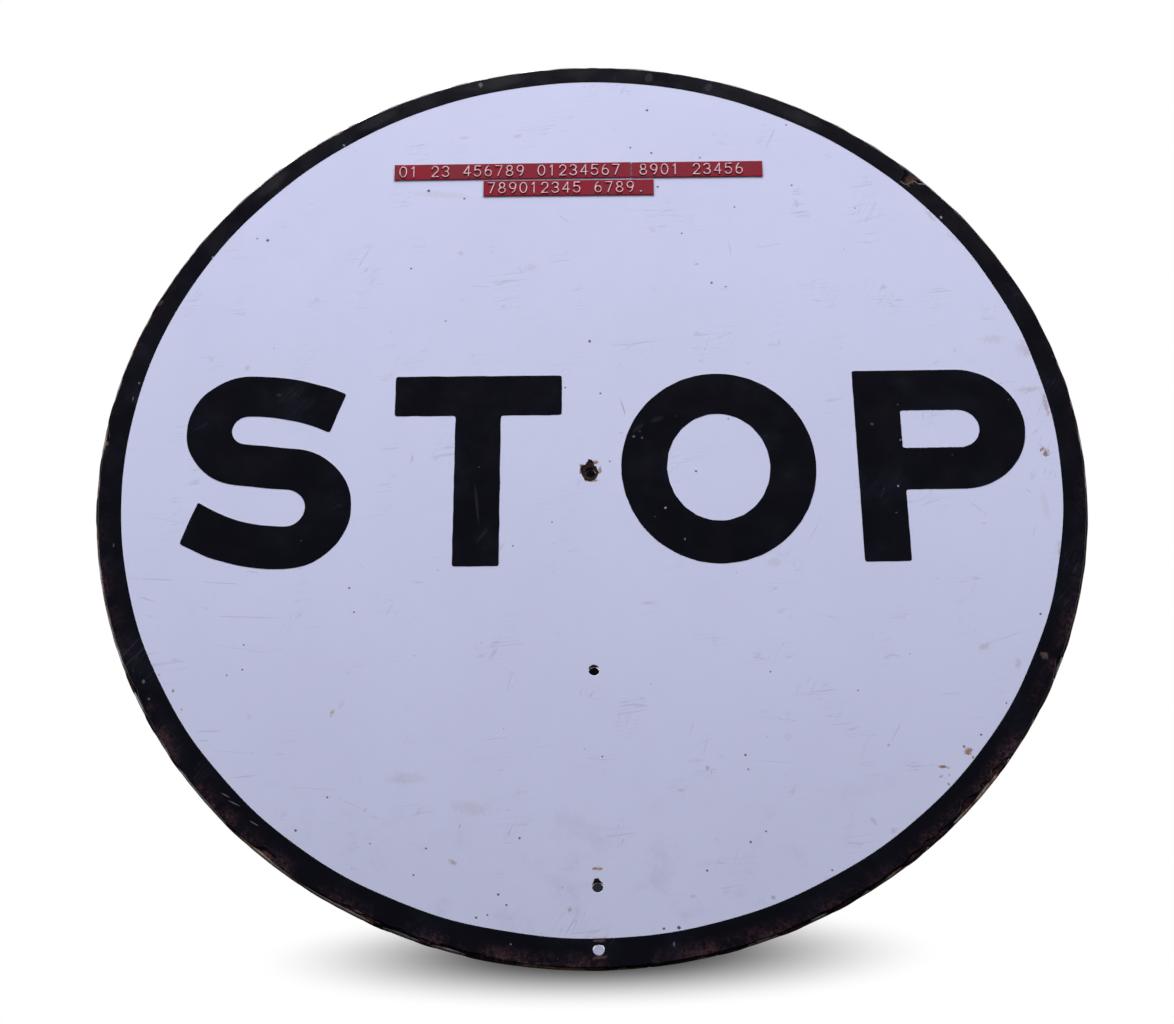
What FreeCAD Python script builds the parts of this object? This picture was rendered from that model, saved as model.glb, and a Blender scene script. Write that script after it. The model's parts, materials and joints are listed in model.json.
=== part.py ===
import FreeCAD, Part
import math
import os

# The head of a crossing watchman's stop paddle: a round steel sheet covered with vitreous enamel and lettered on
# both faces. Four holes on its upright centre line take the staff, and three strips of embossed label tape are
# stuck near the top of the front face.
#
# Every piece is built lying flat, with +X right, +Y up and +Z out of the front face, and is stood up when it is
# written. In the part's own frame +X is right, +Z is up, the front faces -Y, and the origin is in the middle of
# the sheet's thickness, on the axis of the centre hole. All sizes are in millimetres and all turns in degrees.

V = FreeCAD.Vector

# Steel sheet, finished size over the enamel, and the thickness of each fired coat
DISC_RADIUS = 152.4
SHEET_THICKNESS = 1.9
GROUND_COAT = 0.15
WHITE_COAT = 0.20
LETTER_COAT = 0.10
EDGE_ROUNDING = 0.75

# Black border: the white field stops short of the rim, and was stencilled a little above centre
WHITE_RADIUS = 144.6
WHITE_RISE = 1.0
BORDER_SETBACK = 0.8

# Holes on the centre line, by their distance below the centre. The radius is the open one, after enamel has lined
# the punched hole, and the later coats stop short of the edge.
HOLE_DROPS = (0.0, 64.5, 129.0, 146.6)
HOLE_RADIUS = 1.6
HOLE_LINING = 0.25
COAT_HOLE_SETBACK = 0.25

# Legend: block letters, each in its own frame with its lower left corner at the origin
STROKE = 14.2
T_WIDTH = 52.3
T_HEIGHT = 64.9
T_BAR = 14.0
O_WIDTH = 60.1
O_HEIGHT = 64.7
P_HEIGHT = 65.0
P_BOWL_RADIUS = 20.65
P_BOWL_CENTRE_X = 31.9
S_LEFT_CENTRE = V(19.0, 47.1, 0)
S_LEFT_RADIUS = 11.9
S_RIGHT_CENTRE = V(32.0, 20.3, 0)
S_RIGHT_RADIUS = 13.2
S_TOP_RUN_RADIUS = 63.6
S_TOP_RUN_ENDS = (25.6, 27.0)
S_BOTTOM_RUN_RADIUS = 52.9
S_BOTTOM_RUN_ENDS = (31.9, 36.0)

# Place of each letter's lower left corner on the front face, and its clockwise turn
LETTER_PLACES = {
    "s": (-125.8, -30.5, 0.0),
    "t": (-61.5, -30.4, 0.6),
    "o": (9.5, -31.2, 0.0),
    "p": (82.3, -31.5, 0.3),
}

# Label tape: width and thickness of the plastic strip and of the adhesive under it, then each strip's left and
# right ends (x, y of the strip's middle line)
TAPE_WIDTH = 6.0
TAPE_THICKNESS = 0.25
ADHESIVE_THICKNESS = 0.10
TAPE_STRIPS = {
    "upper_left": ((-63.2, 110.8), (15.0, 110.1)),
    "upper_right": ((15.2, 110.0), (58.5, 109.6)),
    "lower": ((-33.7, 103.9), (22.4, 103.2)),
}

# Heights above the middle of the sheet where each coat ends
STEEL_FACE = SHEET_THICKNESS / 2
GROUND_FACE = STEEL_FACE + GROUND_COAT
WHITE_FACE = GROUND_FACE + WHITE_COAT
LETTER_FACE = WHITE_FACE + LETTER_COAT


def disc(radius, low, high, centre_y=0.0):
    return Part.makeCylinder(radius, high - low, V(0, centre_y, low))


def rounded_disc(radius, face, rounding):
    """A disc from -face to +face whose two rim edges are rounded."""
    blank = disc(radius, -face, face)
    rims = [edge for edge in blank.Edges if edge.Closed]
    return blank.makeFillet(rounding, rims)


def drilled(shape, radius):
    """The shape with the four centre-line holes cut right through it."""
    pins = [
        Part.makeCylinder(radius, 4 * LETTER_FACE, V(0, -drop, -2 * LETTER_FACE))
        for drop in HOLE_DROPS
    ]
    return shape.cut(pins)


def plate(face, low, high):
    """A flat outline thickened from height low to height high."""
    return face.translated(V(0, 0, low)).extrude(V(0, 0, high - low))


def line(start, end):
    return Part.makeLine(start, end)


def arc(centre, radius, start, end):
    """An arc about centre, counter-clockwise between two compass angles from +X."""
    circle = Part.Circle(centre, V(0, 0, 1), radius)
    return Part.Arc(circle, math.radians(start), math.radians(end)).toShape()


def on_circle(centre, radius, angle):
    turn = math.radians(angle)
    return centre + V(radius * math.cos(turn), radius * math.sin(turn), 0)


def outlined(edges):
    return Part.Face(Part.Wire(Part.__sortEdges__(edges)))


def letter_t():
    """A bar over a stem of the same weight."""
    stem_left = (T_WIDTH - STROKE) / 2
    stem_right = (T_WIDTH + STROKE) / 2
    bar_foot = T_HEIGHT - T_BAR
    corners = [
        V(stem_left, 0, 0),
        V(stem_right, 0, 0),
        V(stem_right, bar_foot, 0),
        V(T_WIDTH, bar_foot, 0),
        V(T_WIDTH, T_HEIGHT, 0),
        V(0, T_HEIGHT, 0),
        V(0, bar_foot, 0),
        V(stem_left, bar_foot, 0),
    ]
    return Part.Face(Part.makePolygon(corners + corners[:1]))


def letter_o():
    """An upright ellipse with a smaller one taken out, one stroke inside it."""
    centre = V(O_WIDTH / 2, O_HEIGHT / 2, 0)

    def oval(inset):
        top = centre + V(0, O_HEIGHT / 2 - inset, 0)
        side = centre + V(O_WIDTH / 2 - inset, 0, 0)
        return outlined([Part.Ellipse(top, side, centre).toShape()])

    return oval(0).cut(oval(STROKE))


def letter_p():
    """A stem and a half-round bowl, with a counter one stroke inside the bowl."""
    centre = V(P_BOWL_CENTRE_X, P_HEIGHT - P_BOWL_RADIUS, 0)
    bowl_foot = P_HEIGHT - 2 * P_BOWL_RADIUS
    corners = [
        V(P_BOWL_CENTRE_X, bowl_foot, 0),
        V(STROKE, bowl_foot, 0),
        V(STROKE, 0, 0),
        V(0, 0, 0),
        V(0, P_HEIGHT, 0),
        V(P_BOWL_CENTRE_X, P_HEIGHT, 0),
    ]
    sides = [line(a, b) for a, b in zip(corners, corners[1:])]
    outside = outlined(sides + [arc(centre, P_BOWL_RADIUS, -90, 90)])
    counter_radius = P_BOWL_RADIUS - STROKE
    low = centre - V(0, counter_radius, 0)
    high = centre + V(0, counter_radius, 0)
    counter = outlined(
        [
            arc(centre, counter_radius, -90, 90),
            line(high, V(STROKE, high.y, 0)),
            line(V(STROKE, high.y, 0), V(STROKE, low.y, 0)),
            line(V(STROKE, low.y, 0), low),
        ]
    )
    return outside.cut(counter)


def letter_s():
    """A stroke of one weight: a flat arc, a left turn, a straight spine tangent to both turns, a right turn and a
    second flat arc."""
    half = STROKE / 2
    across = S_RIGHT_CENTRE - S_LEFT_CENTRE
    spine_fall = math.degrees(
        math.acos((S_LEFT_RADIUS + S_RIGHT_RADIUS) / across.Length)
        - math.atan2(across.x, -across.y)
    )
    top_centre = S_LEFT_CENTRE + V(0, S_LEFT_RADIUS - S_TOP_RUN_RADIUS, 0)
    bottom_centre = S_RIGHT_CENTRE - V(0, S_RIGHT_RADIUS - S_BOTTOM_RUN_RADIUS, 0)

    def side(top_side):
        """One edge of the stroke, from the upper end to the lower end. top_side is +1 for the edge that runs
        outside the left turn and -1 for the edge that runs outside the right turn."""
        top_end = S_TOP_RUN_ENDS[0 if top_side > 0 else 1]
        bottom_end = S_BOTTOM_RUN_ENDS[1 if top_side > 0 else 0]
        left = S_LEFT_RADIUS + top_side * half
        right = S_RIGHT_RADIUS - top_side * half
        top = S_TOP_RUN_RADIUS + top_side * half
        bottom = S_BOTTOM_RUN_RADIUS - top_side * half
        edges = [
            arc(top_centre, top, 90 - top_end, 90),
            arc(S_LEFT_CENTRE, left, 90, 270 - spine_fall),
            line(
                on_circle(S_LEFT_CENTRE, left, 270 - spine_fall),
                on_circle(S_RIGHT_CENTRE, right, 90 - spine_fall),
            ),
            arc(S_RIGHT_CENTRE, right, -90, 90 - spine_fall),
            arc(bottom_centre, bottom, 270 - bottom_end, 270),
        ]
        ends = (
            on_circle(top_centre, top, 90 - top_end),
            on_circle(bottom_centre, bottom, 270 - bottom_end),
        )
        return edges, ends

    outer, outer_ends = side(+1)
    inner, inner_ends = side(-1)
    caps = [line(a, b) for a, b in zip(outer_ends, inner_ends)]
    return outlined(outer + inner + caps)


LETTERS = {"s": letter_s, "t": letter_t, "o": letter_o, "p": letter_p}


def steel_blank():
    blank = rounded_disc(DISC_RADIUS - GROUND_COAT, STEEL_FACE, EDGE_ROUNDING - GROUND_COAT)
    return drilled(blank, HOLE_RADIUS + HOLE_LINING)


def ground_coat(steel):
    """Black coat all round the steel: both faces, the rim and the walls of the holes."""
    body = rounded_disc(DISC_RADIUS, GROUND_FACE, EDGE_ROUNDING)
    return drilled(body, HOLE_RADIUS).cut(steel)


def white_coat():
    field = disc(WHITE_RADIUS, GROUND_FACE, WHITE_FACE, WHITE_RISE)
    return drilled(field, HOLE_RADIUS + COAT_HOLE_SETBACK)


def border():
    """Black ring between the white field and the rounded rim, level with the letters."""
    ring = disc(DISC_RADIUS - BORDER_SETBACK, GROUND_FACE, LETTER_FACE)
    field = disc(WHITE_RADIUS, GROUND_FACE, LETTER_FACE, WHITE_RISE)
    return drilled(ring.cut(field), HOLE_RADIUS + COAT_HOLE_SETBACK)


def placed_letter(name):
    x, y, turn = LETTER_PLACES[name]
    letter = plate(LETTERS[name](), WHITE_FACE, LETTER_FACE)
    letter.rotate(V(0, 0, 0), V(0, 0, 1), -turn)
    return letter.translated(V(x, y, 0))


def strip(ends, low, thickness):
    """A straight strip of tape between the two ends of its middle line."""
    start = V(*ends[0], low)
    along = V(*ends[1], low) - start
    piece = Part.makeBox(along.Length, TAPE_WIDTH, thickness, V(0, -TAPE_WIDTH / 2, 0))
    piece.rotate(V(0, 0, 0), V(0, 0, 1), math.degrees(math.atan2(along.y, along.x)))
    return piece.translated(start)


def face_pieces():
    """The coats that are fired on one face."""
    pieces = {"white_coat": white_coat(), "border": border()}
    for name in LETTERS:
        pieces[f"letter_{name}"] = placed_letter(name)
    return pieces


def write(node, shape):
    """Stands the piece up, front towards -Y, and writes it."""
    shape.rotate(V(0, 0, 0), V(1, 0, 0), 90)
    if not shape.isValid() or len(shape.Solids) != 1:
        raise ValueError(f"{node} isn't one valid solid")
    shape.exportStep(f"parts/{node}.step")
    print(f"{node}: {shape.Volume:.1f} cubic mm")


def main():
    os.makedirs("parts", exist_ok=True)
    steel = steel_blank()
    ground = ground_coat(steel)
    write("steel_blank", steel)
    write("ground_coat", ground)
    for name, piece in face_pieces().items():
        write(f"front_{name}", piece)
    for name, piece in face_pieces().items():
        piece.rotate(V(0, 0, 0), V(0, 1, 0), 180)
        write(f"back_{name}", piece)
    for name, ends in TAPE_STRIPS.items():
        write(f"label_adhesive_{name}", strip(ends, WHITE_FACE, ADHESIVE_THICKNESS))
        write(f"label_tape_{name}", strip(ends, WHITE_FACE + ADHESIVE_THICKNESS, TAPE_THICKNESS))


main()
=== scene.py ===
import json
import math

import bpy
import numpy as np
from mathutils import Matrix, Vector, geometry


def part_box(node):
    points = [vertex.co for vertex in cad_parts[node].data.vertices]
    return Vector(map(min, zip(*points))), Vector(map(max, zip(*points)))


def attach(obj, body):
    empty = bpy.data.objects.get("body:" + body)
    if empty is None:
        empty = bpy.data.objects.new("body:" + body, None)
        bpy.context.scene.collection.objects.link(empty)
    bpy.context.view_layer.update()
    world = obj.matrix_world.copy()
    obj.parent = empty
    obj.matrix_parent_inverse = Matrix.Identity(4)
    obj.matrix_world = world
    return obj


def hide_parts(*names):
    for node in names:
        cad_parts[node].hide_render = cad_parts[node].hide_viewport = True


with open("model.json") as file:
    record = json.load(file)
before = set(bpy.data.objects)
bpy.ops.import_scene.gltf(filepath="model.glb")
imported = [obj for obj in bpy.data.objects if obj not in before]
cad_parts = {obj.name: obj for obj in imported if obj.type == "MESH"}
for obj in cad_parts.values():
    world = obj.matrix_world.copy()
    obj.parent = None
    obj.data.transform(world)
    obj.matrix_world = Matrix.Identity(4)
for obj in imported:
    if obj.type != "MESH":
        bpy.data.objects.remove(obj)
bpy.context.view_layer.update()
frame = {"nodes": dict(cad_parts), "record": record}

# A worn, enamelled STOP paddle head. Shapes are worked out in millimetres in the plane of a face, u to the
# right, v up and w out of the face, and are then stood up in the part's frame in metres.

MM = 0.001
FRONT, BACK = "front", "back"


# ---- sizes, from the frame where it has them


def half_depth(node, side=FRONT):
    """How far out of the middle of the sheet a node reaches on one side, in mm."""
    low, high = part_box(node)
    return (-low[1] if side == FRONT else high[1]) / MM


def mount(name):
    return next(m for m in frame["record"]["mounts"] if m["name"] == name)


DISC_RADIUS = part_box("ground_coat")[1][0] / MM
GROUND_FACE = half_depth("ground_coat")
WHITE_FACE = half_depth("front_white_coat")
LETTER_FACE = half_depth("front_border")
TAPE_FOOT = half_depth("label_adhesive_lower")
TAPE_FACE = half_depth("label_tape_lower")
field_low, field_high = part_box("front_white_coat")
WHITE_RADIUS = (field_high[0] - field_low[0]) / 2 / MM
WHITE_RISE = (field_high[2] + field_low[2]) / 2 / MM

HOLE_RADIUS = mount("centre_hole")["dims"]["r_mm"]
staff = mount("staff_holes")
staff_middle = staff["pos_m"][2] / MM
staff_half = staff["dims"]["spacing_y_mm"] / 2
HOLES = (
    0.0,
    staff_middle + staff_half,
    staff_middle - staff_half,
    mount("rim_hole")["pos_m"][2] / MM,
)

# How much the sheet is out of flat, and how far the coats sink into what is under them so that no gap shows
WARP_HEIGHTS = (0.05, 0.03)
BED = 0.03


def warp(x, z):
    """Two crossed long waves, a few hundredths of a millimetre high."""
    long_wave = np.sin(x / 31 + 0.8) * np.cos(z / 44)
    short_wave = np.sin((x + z) / 19)
    return WARP_HEIGHTS[0] * long_wave + WARP_HEIGHTS[1] * short_wave


def stood_up(points, side):
    """From a face's (u, v, w) in mm to the part's frame in metres. The back is turned half round."""
    u, v, w = np.asarray(points, float).T
    x, y = (u, -w) if side == FRONT else (-u, w)
    return np.column_stack((x, y + warp(x, v), v)) * MM


# ---- outlines, as closed curves in mm


def sweep(centre, radius, start, end, step=0.4):
    """Points on a round stretch from one compass angle to another, in degrees."""
    rx, ry = np.broadcast_to(radius, 2)
    count = max(4, int(abs(math.radians(end - start)) * max(rx, ry) / step))
    turn = np.radians(np.linspace(start, end, count))
    return np.column_stack((centre[0] + rx * np.cos(turn), centre[1] + ry * np.sin(turn)))


def resampled(loop, step):
    """The same closed curve with evenly spaced points."""
    closed = np.vstack((loop, loop[:1]))
    walked = np.concatenate(([0], np.cumsum(np.linalg.norm(np.diff(closed, axis=0), axis=1))))
    stops = np.linspace(0, walked[-1], max(8, round(walked[-1] / step)), endpoint=False)
    return np.column_stack([np.interp(stops, walked, closed[:, i]) for i in (0, 1)])


def outward(loop):
    """Unit normals to the right of travel, which is out of the material on every loop here."""
    along = np.roll(loop, -1, axis=0) - np.roll(loop, 1, axis=0)
    normal = np.column_stack((along[:, 1], -along[:, 0]))
    return normal / np.linalg.norm(normal, axis=1, keepdims=True)


def softened(loop, step=0.25, reach=0.35):
    """The curve with its corners rounded: each point becomes a bell-weighted mean of its neighbours."""
    points = resampled(loop, step)
    offsets = np.arange(-6, 7)
    weights = np.exp(-0.5 * (offsets * step / reach) ** 2)
    weights /= weights.sum()
    return sum(w * np.roll(points, k, axis=0) for w, k in zip(weights, offsets))


def hand_cut(loop, seed, depth=0.03, waves=7):
    """The curve pushed in and out along its normals by a few slow sine waves of its length."""
    rng = np.random.default_rng(seed)
    place = np.arange(len(loop)) / len(loop) * 2 * np.pi
    push = sum(
        rng.normal() * np.sin(rng.integers(3, 40) * place + rng.uniform(0, 2 * np.pi))
        for _ in range(waves)
    )
    return loop + outward(loop) * (push * depth / math.sqrt(waves / 2))[:, None]


def reversed_loop(loop):
    return loop[::-1]


def circle(radius, centre=(0, 0), step=0.8):
    """A counter-clockwise circle. radius may be a function of the degrees clockwise from the top."""
    count = round(2 * np.pi * (radius(0.0) if callable(radius) else radius) / step)
    turn = np.linspace(0, 2 * np.pi, count, endpoint=False)
    r = radius((90 - np.degrees(turn)) % 360) if callable(radius) else radius
    return np.column_stack((centre[0] + r * np.cos(turn), centre[1] + r * np.sin(turn)))


# ---- the legend

STROKE = 14.2
LETTER_PLACES = {
    "s": (-125.8, -30.5, 0.0),
    "t": (-61.5, -30.4, 0.6),
    "o": (9.5, -31.2, 0.0),
    "p": (82.3, -31.5, 0.3),
}


def letter_t():
    """A bar over a stem of the same weight."""
    width, height, bar = 52.3, 64.9, 14.0
    left, right, foot = (width - STROKE) / 2, (width + STROKE) / 2, height - bar
    corners = [(left, 0), (right, 0), (right, foot), (width, foot), (width, height), (0, height), (0, foot)]
    return [np.array(corners + [(left, foot)], float)]


def letter_o():
    """An upright oval with a smaller one taken out, one stroke inside it."""
    half = np.array((60.1, 64.7)) / 2
    return [sweep(half, half, 0, 360)[:-1], sweep(half, half - STROKE, 360, 0)[:-1]]


def letter_p():
    """A stem and a half-round bowl, with a counter one stroke inside the bowl."""
    height, bowl, x = 65.0, 20.65, 31.9
    centre, inner = (x, height - bowl), bowl - STROKE
    foot = height - 2 * bowl
    outside = np.vstack(([(0, height), (0, 0), (STROKE, 0), (STROKE, foot)], sweep(centre, bowl, -90, 90)))
    stem_side = [(STROKE, foot + STROKE), (STROKE, height - STROKE)]
    counter = np.vstack((sweep(centre, inner, 90, -90), stem_side))
    return [outside, counter]


def letter_s():
    """A stroke of one weight: a flat arc, a left turn, a straight spine tangent to both turns, a right turn
    and a second flat arc."""
    left_centre, left_radius = np.array((19.0, 47.1)), 11.9
    right_centre, right_radius = np.array((32.0, 20.3)), 13.2
    top_radius, top_ends = 63.6, (25.6, 27.0)
    bottom_radius, bottom_ends = 52.9, (31.9, 36.0)
    dx, dy = right_centre - left_centre
    reach = (left_radius + right_radius) / math.hypot(dx, dy)
    fall = math.degrees(math.acos(reach) - math.atan2(dx, -dy))
    top_centre = left_centre + (0, left_radius - top_radius)
    bottom_centre = right_centre - (0, right_radius - bottom_radius)

    def edge(out):
        """One edge of the stroke from its upper end to its lower end, half a stroke to one side."""
        shift = out * STROKE / 2
        first, last = (top_ends[0], bottom_ends[1]) if out > 0 else (top_ends[1], bottom_ends[0])
        return np.vstack(
            (
                sweep(top_centre, top_radius + shift, 90 - first, 90),
                sweep(left_centre, left_radius + shift, 90, 270 - fall),
                sweep(right_centre, right_radius - shift, 90 - fall, -90),
                sweep(bottom_centre, bottom_radius - shift, 270, 270 - last),
            )
        )

    return [np.vstack((edge(+1), edge(-1)[::-1]))]


def placed(loop, place):
    x, y, turn = place
    c, s = math.cos(math.radians(turn)), math.sin(math.radians(turn))
    return loop @ np.array(((c, -s), (s, c))) + (x, y)


# ---- wear that shapes the coats

# Bites out of the border's outer edge: clockwise angle from the top, half width in degrees, depth in mm
BORDER_BITES = (
    (45.6, 1.2, 4.4), (81, 5, 0.4), (115.5, 1.1, 0.9), (130.5, 2, 1.3), (134.5, 2.2, 1.7),
    (141.5, 4, 1.1), (152, 7, 0.5), (197, 6, 0.6), (206, 5, 0.8), (218.2, 1.8, 1.6),
    (243.5, 1, 0.7), (275, 1.5, 0.8), (294.5, 2.2, 0.9), (327, 0.5, 0.7),
)
# Nicks in the rim itself, in the same form
RIM_NICKS = ((133, 2.0, 0.45), (146, 1.2, 0.35), (58, 1, 0.3), (219, 1.4, 0.4), (301, 0.8, 0.3))
# Lobes of missing white round the centre hole and the lower staff hole, in the same form
CENTRE_LOBES = ((352, 24, 1.25), (300, 30, 1.0), (200, 60, 0.75))
STAFF_LOBE = (352, 26, 0.75)


def ragged(angle, seed, count=24, low=20, high=200):
    """A jagged curve of the angle between about -1 and 1: many sine waves of random pitch."""
    rng = np.random.default_rng(seed)
    turn = np.radians(angle)
    total = sum(np.sin(rng.integers(low, high) * turn + rng.uniform(0, 6.3)) for _ in range(count))
    return total / math.sqrt(count)


def border_edge(angle, seed):
    """Outer radius of the border coat: just inside the rim, less its bites and a fine raggedness."""
    bites = sum(
        depth * np.exp(-np.abs((angle - at) / half) ** 2.6) * (1 + 0.35 * ragged(angle, seed + 1))
        for at, half, depth in BORDER_BITES
    )
    edge = DISC_RADIUS - 0.75 - bites - 0.07 * (1 + ragged(angle, seed))
    return np.maximum(edge, WHITE_RADIUS + 2.2)


def rim_edge(angle, seed=5):
    """Radius of the finished rim: never over the full size, with shallow dents and a few nicks."""
    dents = 0.17 * (1 + ragged(angle, seed, low=4, high=80))
    nicks = sum(d * np.exp(-(((angle - a) / h) ** 2)) for a, h, d in RIM_NICKS)
    return DISC_RADIUS - np.clip(dents, 0, None) - nicks


def lobe(angle, at, half, depth):
    """A bell of the angle, however the angle is wound."""
    return depth * np.exp(-(((angle + 180 - at) % 360 - 180) / half) ** 2)


def centre_chip(angle):
    """Edge of the white coat round the centre hole, where it is chipped most to the upper left."""
    lobes = 0.95 * np.exp(-(((angle - 350) % 360) / 32) ** 2)
    for place in CENTRE_LOBES:
        lobes = lobes + lobe(angle, *place)
    return HOLE_RADIUS + 0.78 + lobes + 0.13 * ragged(angle, 9, low=4, high=15)


def staff_chip(angle):
    """Edge of the white coat round the lower staff hole, with one small chip above it."""
    chip = lobe(angle, *STAFF_LOBE) * (1 + 0.25 * ragged(angle, 12, low=4, high=13))
    return HOLE_RADIUS + 0.05 + chip


def clean_hole(angle):
    return HOLE_RADIUS + 0.05 + 0.03 * ragged(angle, 3, low=2, high=9)


# ---- meshes


def inside(points, loops):
    """Whether each point is in the material: an odd number of loop edges lie to its right."""
    hits = np.zeros(len(points), int)
    for loop in loops:
        a, b = loop, np.roll(loop, -1, axis=0)
        rise = b[:, 1] - a[:, 1]
        rise = np.where(rise == 0, 1e-12, rise)
        for block in np.array_split(np.arange(len(points)), len(points) // 2000 + 1):
            p = points[block]
            spans = (a[:, 1] > p[:, 1:]) != (b[:, 1] > p[:, 1:])
            cross = a[:, 0] + (p[:, 1:] - a[:, 1]) / rise * (b[:, 0] - a[:, 0])
            hits[block] += (spans & (cross > p[:, :1])).sum(axis=1)
    return hits % 2 == 1


def clearance(points, loops):
    """Each point's distance to the nearest outline point."""
    edge = np.vstack(loops)
    blocks = np.array_split(points, len(points) // 1000 + 1)
    return np.concatenate(
        [np.sqrt(((b[:, None] - edge) ** 2).sum(axis=2).min(axis=1)) for b in blocks if len(b)]
    )


def filled(loops, spacing):
    """Triangles over the outlines: their own points first, then points on a square grid inside them."""
    edge = np.vstack(loops)
    low, high = edge.min(axis=0), edge.max(axis=0)
    gu, gv = np.meshgrid(*(np.arange(low[i] + spacing / 2, high[i], spacing) for i in (0, 1)))
    grid = np.column_stack((gu.ravel(), gv.ravel()))
    grid = grid[inside(grid, loops)]
    if len(grid):
        grid = grid[clearance(grid, loops) > 0.5 * spacing]
    points = np.vstack((edge, grid))
    sides, start = [], 0
    for loop in loops:
        ids = np.arange(len(loop)) + start
        sides += np.column_stack((ids, np.roll(ids, -1))).tolist()
        start += len(loop)
    _, _, faces, origin, _, _ = geometry.delaunay_2d_cdt(
        [Vector(p) for p in points], sides, [], 0, 1e-6, True
    )
    first = np.array([ids[0] for ids in origin])
    tris = first[np.array([tuple(f) for f in faces])]
    a, b, c = points[tris[:, 0]], points[tris[:, 1]], points[tris[:, 2]]
    area = (b[:, 0] - a[:, 0]) * (c[:, 1] - a[:, 1]) - (b[:, 1] - a[:, 1]) * (c[:, 0] - a[:, 0])
    tris[area < 0] = tris[area < 0][:, ::-1]
    keep = inside((a + b + c) / 3, loops) & (np.abs(area) > 1e-9)
    return points, tris[keep]


def new_piece(name, verts, faces, material, nodes=(), sharp=40):
    """A mesh piece on the part's one body, standing for the named CAD nodes."""
    mesh = bpy.data.meshes.new(name)
    mesh.from_pydata(verts.tolist(), [], faces)
    mesh.shade_smooth()
    mesh.set_sharp_from_angle(angle=math.radians(sharp))
    mesh.materials.append(material)
    piece = bpy.data.objects.new(name, mesh)
    bpy.context.scene.collection.objects.link(piece)
    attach(piece, "root")
    if nodes:
        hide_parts(*nodes)
    return piece


def layer(name, loops, profiles, spacing, side, material, nodes):
    """A closed layer. loops are its outlines, the outside one first and openings after it, material on the
    left. Each has a profile, rows of (outset, height) that start on the face and end on the underside. The
    face and the underside are filled flat, and the profile is carried round each outline between them."""
    normals = [outward(loop) for loop in loops]
    rings = [
        [np.column_stack((loop + n * out, np.full(len(loop), height))) for out, height in profile]
        for loop, n, profile in zip(loops, normals, profiles)
    ]
    face_points, tris = filled([ring[0][:, :2] for ring in rings], spacing)
    edge_count = sum(len(loop) for loop in loops)
    face_height, foot_height = profiles[0][0][1], profiles[0][-1][1]
    top = np.column_stack((face_points, np.full(len(face_points), face_height)))
    bottom = np.column_stack((face_points, np.full(len(face_points), foot_height)))
    bottom[:edge_count] = np.vstack([ring[-1] for ring in rings])
    verts, faces = [top, bottom], tris.tolist() + (tris[:, ::-1] + len(top)).tolist()
    count, start = len(top) + len(bottom), 0
    for ring in rings:
        size = len(ring[0])
        rows = [np.arange(size) + start]
        for middle in ring[1:-1]:
            verts.append(middle)
            rows.append(np.arange(size) + count)
            count += size
        rows.append(np.arange(size) + start + len(top))
        for upper, lower in zip(rows, rows[1:]):
            faces += np.column_stack((upper, lower, np.roll(lower, -1), np.roll(upper, -1))).tolist()
        start += size
    return new_piece(name, stood_up(np.vstack(verts), side), faces, material, nodes)


def rolled_edge(face, foot, width, drop, steps=6):
    """A coat's edge: flat, then a quarter oval down, then straight to the foot."""
    turn = np.linspace(0, np.pi / 2, steps)
    rows = [(-1.3 * width, face)]
    rows += [(-width * (1 - math.sin(t)), face - drop * (1 - math.cos(t))) for t in turn]
    return rows + [(0.0, foot)]


# ---- node helpers


def new_material(name):
    """A material with its tree, its shader and the place on the object that its patterns follow."""
    material = bpy.data.materials.new(name)
    material.use_nodes = True
    tree = material.node_tree
    return material, tree, tree.nodes["Principled BSDF"], add(tree, "ShaderNodeTexCoord").outputs["Object"]


def plug(tree, value, socket):
    """The socket takes the value, or a link from it if it is another node's socket."""
    if isinstance(value, bpy.types.NodeSocket):
        tree.links.new(value, socket)
    else:
        socket.default_value = value


def add(tree, kind, inputs=None, **settings):
    """A node with its settings and its inputs, each input a value or another node's socket."""
    node = tree.nodes.new(kind)
    for key, value in settings.items():
        setattr(node, key, value)
    for key, value in (inputs or {}).items():
        plug(tree, value, node.inputs[key])
    return node


def maths(tree, operation, *values, clamp=False):
    inputs = dict(enumerate(values))
    return add(tree, "ShaderNodeMath", inputs, operation=operation, use_clamp=clamp).outputs[0]


def times(tree, one, other):
    return maths(tree, "MULTIPLY", one, other)


def larger(tree, one, other):
    return maths(tree, "MAXIMUM", one, other)


def vector_maths(tree, operation, one, other=(0, 0, 0), output=0):
    return add(tree, "ShaderNodeVectorMath", {0: one, 1: other}, operation=operation).outputs[output]


def blended(tree, mask, under, over):
    """Colour under where the mask is 0 and colour over where it is 1."""
    return add(tree, "ShaderNodeMix", {0: mask, 6: under, 7: over}, data_type="RGBA").outputs[2]


def between(tree, value, low, high, to_low=0.0, to_high=1.0):
    """The value carried smoothly from low..high to to_low..to_high and held outside."""
    node = add(
        tree,
        "ShaderNodeMapRange",
        {"Value": value, "From Min": low, "From Max": high, "To Min": to_low, "To Max": to_high},
        interpolation_type="SMOOTHSTEP",
    )
    return node.outputs["Result"]


def new_group(name, inputs, outputs):
    """A node group with float, vector or colour sockets, and its input and output nodes."""
    group = bpy.data.node_groups.new(name, "ShaderNodeTree")
    kinds = {"f": "NodeSocketFloat", "v": "NodeSocketVector", "c": "NodeSocketColor"}
    for label, kind in inputs:
        group.interface.new_socket(label, in_out="INPUT", socket_type=kinds[kind])
    for label, kind in outputs:
        group.interface.new_socket(label, in_out="OUTPUT", socket_type=kinds[kind])
    return group, group.nodes.new("NodeGroupInput").outputs, group.nodes.new("NodeGroupOutput").inputs


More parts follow.
